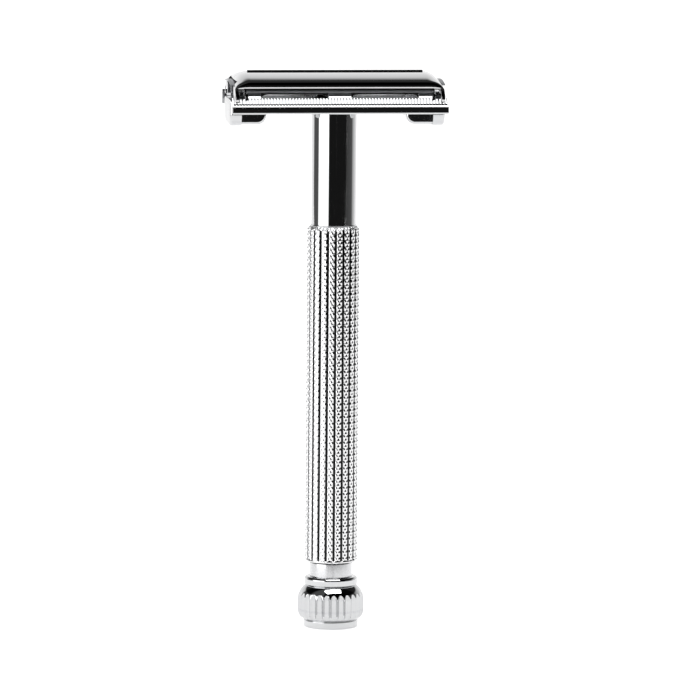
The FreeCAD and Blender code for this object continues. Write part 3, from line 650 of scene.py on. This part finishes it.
def door_section(inset):
    """Cross outline of a door from the seam out to the edge, which is rolled under."""
    top_centre = (0.0, DOOR_TOP - DOOR_TOP_RADIUS)
    corner = arc(top_centre, DOOR_TOP_RADIUS - DOOR_CORNER_RADIUS, DOOR_CORNER_START, DOOR_CORNER_START, 1)[0]
    points = arc(top_centre, DOOR_TOP_RADIUS - inset, 0, DOOR_CORNER_START, 18)[:-1]
    points += arc(corner, DOOR_CORNER_RADIUS - inset, DOOR_CORNER_START, DOOR_CORNER_END, 28)
    points[0] = (SEAM_GAP, points[0][1])
    return points


def door_stations(reach):
    """(x, height share) along a door: level in the middle, rounded down at both ends."""
    steps = 22
    end = []
    for index in range(steps + 1):
        turn = math.pi / 2.0 * index / steps
        end.append((DOOR_FLAT_HALF + reach * math.sin(turn), math.cos(turn)))
    flat = [(x, 1.0) for x in range(-16, 17, 2)]
    return [(-x, share) for x, share in reversed(end)] + flat + end


def door_sheet(side):
    """Thin curved sheet with rounded-down ends."""
    half = DOOR_HALF_LENGTH - DOOR_FLAT_HALF
    verts = []
    outer = door_section(0.0)
    inner = door_section(DOOR_THICKNESS)
    for section, reach in ((outer, half), (inner, half - DOOR_THICKNESS)):
        for x, share in door_stations(reach):
            for y, z in section:
                verts.append((x, side * y, DOOR_LIP_HEIGHT + (z - DOOR_LIP_HEIGHT) * share))
    across = len(outer)
    along = len(door_stations(half))
    layer = across * along
    faces = []
    for station in range(along - 1):
        for point in range(across - 1):
            a = station * across + point
            quad = (a, a + 1, a + across + 1, a + across)
            faces.append(quad)
            faces.append(tuple(layer + index for index in reversed(quad)))
    rim = [station * across for station in range(along)]
    rim += [(along - 1) * across + point for point in range(1, across)]
    rim += [station * across + across - 1 for station in range(along - 2, -1, -1)]
    rim += list(range(across - 2, 0, -1))
    for index, a in enumerate(rim):
        b = rim[(index + 1) % len(rim)]
        faces.append((a, b, layer + b, layer + a))
    return verts, faces


def door_ridge(side):
    """Raised edge along the seam, rounded on top, with square ends."""
    radius = RIDGE_WIDTH / 2.0
    centre = (SEAM_GAP + radius, DOOR_RIDGE_TOP - radius)
    outline = [(side * y, z) for y, z in arc(centre, radius, -90, 90, 12)]
    foot = DOOR_TOP - DOOR_THICKNESS / 2.0
    outline += [(side * (SEAM_GAP + RIDGE_WIDTH), foot), (side * SEAM_GAP, foot)]
    return prism(outline, -DOOR_FLAT_HALF, DOOR_FLAT_HALF)


def door_ear(side, end):
    """Hinge ear: round boss on the pin, heel for the cam pin and a web up to the sheet."""
    pivot = PIVOT[side]
    outline = arc((0.0, 0.0), EAR_BOSS, 60, 180, 16)
    outline += arc((-EAR_HEEL_INBOARD, 0.0), EAR_HEEL, 180, 270, 10)
    outline += [(EAR_GAP - EAR_HEEL_INBOARD - EAR_HEEL, EAR_WEB_TOP), (-EAR_WEB_NEAR, EAR_WEB_TOP)]
    outline = [(side * (pivot[0] + u), pivot[1] + w) for u, w in outline]
    return prism(outline, end * EAR_INNER, end * DOOR_HALF_LENGTH)


def door(side, name, body):
    """A door's sheet, notched to clear the blade's end tabs, with its seam ridge and its two ears."""
    sheet = piece(name + "_sheet", [door_sheet(side)], CHROME, body, (name,))
    reach = DOOR_HALF_LENGTH + 1.0
    low, high = sorted((-side * NOTCH_SPARE, side * TAB_NOTCH_HALF))
    carve(sheet, [block(x0, x1, low, high, DOOR_LIP_HEIGHT - 1.0, TAB_NOTCH_TOP)
                  for x0, x1 in ((-reach, -TAB_NOTCH_START), (TAB_NOTCH_START, reach))])
    piece(name + "_seam", [door_ridge(side)], CHROME, body)
    piece(name + "_ears", [door_ear(side, end) for end in SIDES], CHROME, body, bevel=0.1)


def guard_profile():
    """Guard bar's outline: (y, z, how far the flutes cut in), anticlockwise from the inner foot."""
    bead = arc((GUARD_OUTER - GUARD_BEAD, BASE_BOTTOM + GUARD_BEAD), GUARD_BEAD, 180, 90, 10)
    outline = [(GUARD_INNER + SKIN, BASE_BOTTOM, 0.0)]
    outline += [(y, z, 0.0) for y, z in bead]
    outline += [(y, z, 0.0) for y, z in line((GUARD_OUTER, GUARD_BAND - 0.15), (GUARD_OUTER, GUARD_BAND), 2)]
    turn_in = curve(Vector((GUARD_OUTER, GUARD_BAND)), Vector((GUARD_OUTER, GUARD_BAND + 0.09)),
                    Vector(GUARD_FOOT), 4)
    outline += [(y, z, 0.0) for y, z in turn_in]
    steps = 16
    for index in range(1, steps + 1):
        share = index / steps
        depth = min(1.0, math.sqrt(max(0.0, share - GUARD_FLUTE_END) / GUARD_FLUTE_FADE))
        outline.append((GUARD_FOOT[0] + (GUARD_CREST[0] - GUARD_FOOT[0]) * share,
                        GUARD_FOOT[1] + (GUARD_CREST[1] - GUARD_FOOT[1]) * share, depth))
    outline += [(GUARD_INNER + 0.2, GUARD_TOP - 0.05, 0.5), (GUARD_INNER + SKIN, GUARD_TOP - 0.25, 0.0)]
    return outline


def guard_bar(side):
    """Guard bar swept along X with its row of fine flutes."""
    profile = guard_profile()
    lean_in, lean_down = GUARD_FLUTE_LEAN
    count = GUARD_FLUTES * GUARD_COLUMNS
    first = -GUARD_PITCH * GUARD_FLUTES / 2.0
    stations = [-GUARD_HALF]
    stations += [first + GUARD_PITCH * index / GUARD_COLUMNS for index in range(count + 1)]
    stations += [GUARD_HALF]
    verts = []
    for x in stations:
        offset = ((x - first) % GUARD_PITCH - GUARD_PITCH / 2.0) / GUARD_FLUTE_HALF
        inside = abs(x) < -first and abs(offset) < 1.0
        cut = GUARD_FLUTE_DEPTH * math.sqrt(1.0 - offset * offset) if inside else 0.0
        for y, z, depth in profile:
            verts.append((x, side * (y - lean_in * cut * depth), z - lean_down * cut * depth))
    across = len(profile)
    faces = [tuple(range(across)), tuple(range(len(verts) - 1, len(verts) - 1 - across, -1))]
    for station in range(len(stations) - 1):
        for point in range(across):
            after = (point + 1) % across
            a = station * across
            faces.append((a + point, a + after, a + across + after, a + across + point))
    return verts, faces


def guard(side, name):
    """One guard bar, notched at both ends where the door's ears swing."""
    bar = piece(name, [guard_bar(side)], CHROME, "handle", ("base_plate",))
    out, up = PIVOT[side]
    low, high = sorted((side * (out - EAR_HOLLOW), side * (out + EAR_HOLLOW)))
    cutters = []
    for end in SIDES:
        x0 = end * (EAR_INNER - EAR_GAP)
        x1 = end * (DOOR_HALF_LENGTH + EAR_GAP)
        cutters.append(bar_along_x((side * out, up), EAR_HOLLOW, x0, x1))
        cutters.append(block(x0, x1, low, high, up, up + 2.0))
    carve(bar, cutters)
    return bar


def bed_height(y, radius):
    """Height of the curved bed at a distance y from the middle."""
    return BED_TOP - BED_RADIUS + math.sqrt(radius * radius - y * y)


def bed_tray():
    """Curved bed with its side walls and flanges, hollow underneath."""
    inner = BED_HALF_WIDTH - BED_WALL
    under = BASE_BOTTOM + SKIN
    flange_top = BASE_BOTTOM + FLANGE
    flange_end = GUARD_INNER + 0.1
    steps = 40
    outline = []
    for index in range(steps + 1):
        y = -BED_HALF_WIDTH + 2.0 * BED_HALF_WIDTH * index / steps
        outline.append((y, bed_height(y, BED_RADIUS)))
    outline += [(BED_HALF_WIDTH, flange_top), (flange_end, flange_top), (flange_end, under), (inner, under)]
    vault = [inner + (CHANNEL_HALF_WIDTH - inner) * index / 12 for index in range(13)]
    outline += [(y, bed_height(y, BED_RADIUS - BED_THICKNESS)) for y in vault]
    ceiling = BED_TOP - BED_THICKNESS
    outline += [(CHANNEL_HALF_WIDTH - 0.01, ceiling), (0.01 - CHANNEL_HALF_WIDTH, ceiling)]
    outline += [(-y, bed_height(y, BED_RADIUS - BED_THICKNESS)) for y in reversed(vault)]
    outline += [(-inner, under), (-flange_end, under), (-flange_end, flange_top),
                (-BED_HALF_WIDTH, flange_top)]
    return prism(outline, -BED_HALF_LENGTH, BED_HALF_LENGTH)


def window_cutter(side, end):
    """Stadium-shaped lather window through a side wall."""
    radius = (WINDOW_HIGH - WINDOW_LOW) / 2.0
    middle = WINDOW_LOW + radius
    outline = arc((WINDOW_OUTER - radius, middle), radius, 0, 180, 14)
    outline += arc((WINDOW_INNER + radius, middle), radius, 180, 360, 14)
    near = side * (BED_HALF_WIDTH - 1.5 * BED_WALL)
    far = side * (BED_HALF_WIDTH + 0.5 * BED_WALL)
    return skin([(end * x, near, z) for x, z in outline], [(end * x, far, z) for x, z in outline])


def bridge(side, x0, x1):
    """Sloping tab from the bed's side wall out to the guard, between two windows."""
    foot = BASE_BOTTOM + 0.2
    near = BED_HALF_WIDTH - 0.12
    far = GUARD_INNER + 0.1
    outline = [(near, foot), (near, BRIDGE_TOP), (BED_HALF_WIDTH + 0.1, BRIDGE_TOP), (far, GUARD_TOP - 0.25),
               (far, foot)]
    return prism([(side * y, z) for y, z in outline], x0, x1)


def guard_lining(side):
    """Duller inner face of a guard bar, seen through the windows."""
    low, high = sorted((side * GUARD_INNER, side * (GUARD_INNER + LINING_THICKNESS)))
    return block(-BED_HALF_LENGTH, BED_HALF_LENGTH, low, high, BASE_BOTTOM + 0.1, GUARD_TOP - 0.3)


def end_wall(side, end):
    """Wall at one end of the bed, from the lift bar's channel out to the hinge pin."""
    top = PIVOT[side][1] + END_WALL_RISE
    foot = BASE_BOTTOM + 2.0 * SKIN
    step_top, step_foot = END_WALL_STEP
    outline = [(CHANNEL_HALF_WIDTH, foot), (END_WALL_OUTER_Y, foot), (END_WALL_OUTER_Y, top - END_WALL_EASE),
               (END_WALL_OUTER_Y - END_WALL_EASE, top), (step_top, top), (step_foot, END_WALL_LEDGE),
               (CHANNEL_HALF_WIDTH, END_WALL_CROWN)]
    return prism([(side * y, z) for y, z in outline], end * END_WALL_INNER, end * (BED_HALF_LENGTH - 0.03))


def lug(end):
    """Low round peg that a hole in the blade fits over."""
    low = BED_TOP - LUG_SUNK
    high = BED_TOP + LUG_HEIGHT
    profile = [(AXIS_HOLE, low), (LUG_RADIUS, low), (LUG_RADIUS, high - LUG_EDGE),
               (LUG_RADIUS - LUG_EDGE, high), (AXIS_HOLE, high)]
    verts, faces = lathe(profile, 48)
    return [(x + end * LUG_X, y, z) for x, y, z in verts], faces


def base():
    """Blade bed, end walls and floor; the guard bars are their own pieces."""
    tray = piece("blade_bed", [bed_tray()], CHROME, "handle", ("base_plate",))
    cutters = [window_cutter(side, end) for side in SIDES for end in SIDES]
    carve(tray, cutters)
    soften(tray, 0.08)
    piece("end_walls", [end_wall(side, end) for side in SIDES for end in SIDES], CHROME, "handle", bevel=0.08)
    spans = ((-WINDOW_INNER, WINDOW_INNER), (WINDOW_OUTER, BRIDGE_OUTER), (-BRIDGE_OUTER, -WINDOW_OUTER))
    bridges = [bridge(side, x0, x1) for side in SIDES for x0, x1 in spans]
    tabs = piece("bridges", bridges, CHROME, "handle", bevel=0.1)
    linings = piece("guard_linings", [guard_lining(side) for side in SIDES], SATIN, "handle", bevel=0.05)
    half_x, half_y = NECK_FLOOR_HALF
    low = BASE_BOTTOM + 0.03
    high = BASE_BOTTOM + NECK_FLOOR_THICKNESS
    floor = piece("neck_floor", [block(-half_x, half_x, -half_y, half_y, low, high)], CHROME, "handle")
    below, above = STEM_HOLE_ENDS
    stem_hole = [(AXIS_HOLE, below), (STEM_HOLE_RADIUS, below), (STEM_HOLE_RADIUS, above), (AXIS_HOLE, above)]
    carve(floor, [lathe(stem_hole, 48)])
    soften(floor, 0.08)
    piece("blade_lugs", [lug(end) for end in SIDES], CHROME, "handle")
    return tabs, linings


# ---------------------------------------------------------------- studio

def studio_world():
    """Even white backdrop for the camera; softboxes and dark flags for the reflections."""
    world = bpy.data.worlds.new("studio")
    world.use_nodes = True
    bpy.context.scene.world = world
    nodes = world.node_tree.nodes
    links = world.node_tree.links
    nodes.clear()
    turn = math.radians(CAMERA_AZIMUTH)
    coordinates = nodes.new("ShaderNodeTexCoord")

    def along(direction):
        dot = nodes.new("ShaderNodeVectorMath")
        dot.operation = "DOT_PRODUCT"
        dot.inputs[1].default_value = direction
        links.new(coordinates.outputs["Generated"], dot.inputs[0])
        return dot.outputs["Value"]

    def calculate(operation, *values):
        node = nodes.new("ShaderNodeMath")
        node.operation = operation
        for socket, value in zip(node.inputs, values):
            if isinstance(value, float):
                socket.default_value = value
            else:
                links.new(value, socket)
        return node.outputs[0]

    toward = along((math.sin(turn), -math.cos(turn), 0.0))
    right = along((math.cos(turn), math.sin(turn), 0.0))
    up = along((0.0, 0.0, 1.0))
    azimuth = calculate("ARCTAN2", right, toward)
    place = calculate("MULTIPLY_ADD", azimuth, 0.5 / math.pi, 0.5)
    round_stops = [(degrees / 360.0 + 0.5, level) for degrees, level in ROUND_THE_STUDIO]
    sideways = colour_ramp(nodes, links, place, round_stops)
    height = calculate("MULTIPLY_ADD", calculate("ARCSINE", up), 1.0 / math.pi, 0.5)
    up_stops = [(degrees / 180.0 + 0.5, level) for degrees, level in UP_THE_STUDIO]
    upward = colour_ramp(nodes, links, height, up_stops)
    blend = nodes.new("ShaderNodeMix")
    blend.data_type = "RGBA"
    blend.blend_type = "MULTIPLY"
    blend.inputs["Factor"].default_value = 1.0
    links.new(sideways, blend.inputs["A"])
    links.new(upward, blend.inputs["B"])
    seen = nodes.new("ShaderNodeMix")
    seen.data_type = "RGBA"
    seen.inputs["B"].default_value = (1.0, 1.0, 1.0, 1.0)
    rays = nodes.new("ShaderNodeLightPath")
    links.new(rays.outputs["Is Camera Ray"], seen.inputs["Factor"])
    links.new(blend.outputs["Result"], seen.inputs["A"])
    background = nodes.new("ShaderNodeBackground")
    background.inputs["Strength"].default_value = STUDIO_STRENGTH
    output = nodes.new("ShaderNodeOutputWorld")
    links.new(seen.outputs["Result"], background.inputs["Color"])
    links.new(background.outputs[0], output.inputs[0])


def floor():
    """Pale floor under the razor; beyond its front edge the studio is dark."""
    mesh = bpy.data.meshes.new("floor")
    corners = [(-FLOOR_HALF_WIDTH, -FLOOR_FRONT), (FLOOR_HALF_WIDTH, -FLOOR_FRONT),
               (FLOOR_HALF_WIDTH, FLOOR_BACK), (-FLOOR_HALF_WIDTH, FLOOR_BACK)]
    mesh.from_pydata([(x * MM, y * MM, 0.0) for x, y in corners], [], [(0, 1, 2, 3)])
    mesh.materials.append(floor_material())
    obj = bpy.data.objects.new("floor", mesh)
    bpy.context.scene.collection.objects.link(obj)


def softbox(name, place, size, power, shows=False, lit=(), shaded=True):
    """Large soft area light aimed at the middle of the razor, on everything or only on some pieces."""
    light = bpy.data.lights.new(name, "AREA")
    light.shape = "RECTANGLE"
    light.size, light.size_y = size
    light.energy = power
    obj = bpy.data.objects.new(name, light)
    obj.location = place
    aim = Vector((0.0, 0.0, AIM_HEIGHT * MM)) - obj.location
    obj.rotation_mode = "QUATERNION"
    obj.rotation_quaternion = aim.to_track_quat("-Z", "Y")
    bpy.context.scene.collection.objects.link(obj)
    obj.visible_glossy = shows
    if lit:
        receivers = bpy.data.collections.new(name + "_receivers")
        for receiver in lit:
            receivers.objects.link(receiver)
        obj.light_linking.receiver_collection = receivers
    if not shaded:
        obj.light_linking.blocker_collection = bpy.data.collections.new(name + "_blockers")
    return obj


def camera():
    """Long lens, left of the front and above the head."""
    turn = math.radians(CAMERA_AZIMUTH)
    back = Vector((math.sin(turn), -math.cos(turn), 0.0))
    right = Vector((math.cos(turn), math.sin(turn), 0.0))
    data = bpy.data.cameras.new("camera")
    data.lens = CAMERA_LENS
    data.sensor_width = SENSOR
    obj = bpy.data.objects.new("camera", data)
    obj.location = (back * CAMERA_DISTANCE + Vector((0.0, 0.0, CAMERA_HEIGHT))) * MM
    aim = (right * AIM_RIGHT + Vector((0.0, 0.0, AIM_HEIGHT))) * MM - obj.location
    rotation = aim.to_track_quat("-Z", "Y").to_matrix().to_4x4()
    rotation = rotation @ Matrix.Rotation(math.radians(CAMERA_ROLL), 4, "Z")
    obj.rotation_mode = "QUATERNION"
    obj.rotation_quaternion = rotation.to_quaternion()
    data.clip_start = 0.05
    data.clip_end = 20.0
    bpy.context.scene.collection.objects.link(obj)
    bpy.context.scene.camera = obj


# ---------------------------------------------------------------- assembly

# Painted shade in the grip's grooves and knurl valleys, darkest at the bottom of the grooves.
painted_shade_stops = [(GRIP_RADIUS - depth, share) for depth, share in PAINTED_HOLLOW_SHADE]
paint_shade_in_hollows(KNURLED_PAINTED_LIGHT, GRIP_TOP - GRIP_CHAMFER, painted_shade_stops)
sleeve = piece("grip", [grip()], KNURLED_PAINTED_LIGHT, "handle", ("grip_sleeve",), crease=50.0)
piece("neck", [neck()], CHROME, "handle", ("neck_tube",))
piece("collar", [collar()], SATIN, "drive", ("knob_collar",))
ball = piece("ball_knob", [knob()], CHROME, "drive", ("knob",), crease=28.0)
door(-1, "front_door", "front_door")
door(1, "rear_door", "rear_door")
guards = [guard(-1, "front_guard"), guard(1, "rear_guard")]
tabs, linings = base()

KEPT = {
    CHROME: ("end_cap_left", "end_cap_right", "lift_bar"),
    BLADE: ("razor_blade",),
    STEEL: ("front_door_hinge_pins", "rear_door_hinge_pins", "front_door_cam_pins", "rear_door_cam_pins",
            "friction_washer"),
    BRASS: ("lift_bar_rivets", "stem_guide_bush", "bottom_bush", "thrust_washer", "spindle", "lift_stem"),
}
for material, names in KEPT.items():
    for name in names:
        node = frame["nodes"][name]
        node.data.materials.clear()
        node.data.materials.append(material)

floor()
studio_world()
softbox("overhead", place=(0.0, 0.35, 1.3), size=(1.1, 1.1), power=9.0)
softbox("comb_light", place=(-0.05, -0.38, 1.1), size=(2.4, 0.45), power=12.0, shows=True,
        lit=guards + [tabs, sleeve])
softbox("knob_light", place=(0.08, -0.33, 0.95), size=(0.75, 0.45), power=9.0, shows=True, lit=[ball])
softbox("window_light", place=(0.1, -0.9, 0.02), size=(0.8, 0.5), power=6.0, shows=True, lit=[linings],
        shaded=False)
camera()
bpy.context.scene.view_settings.view_transform = "Standard"
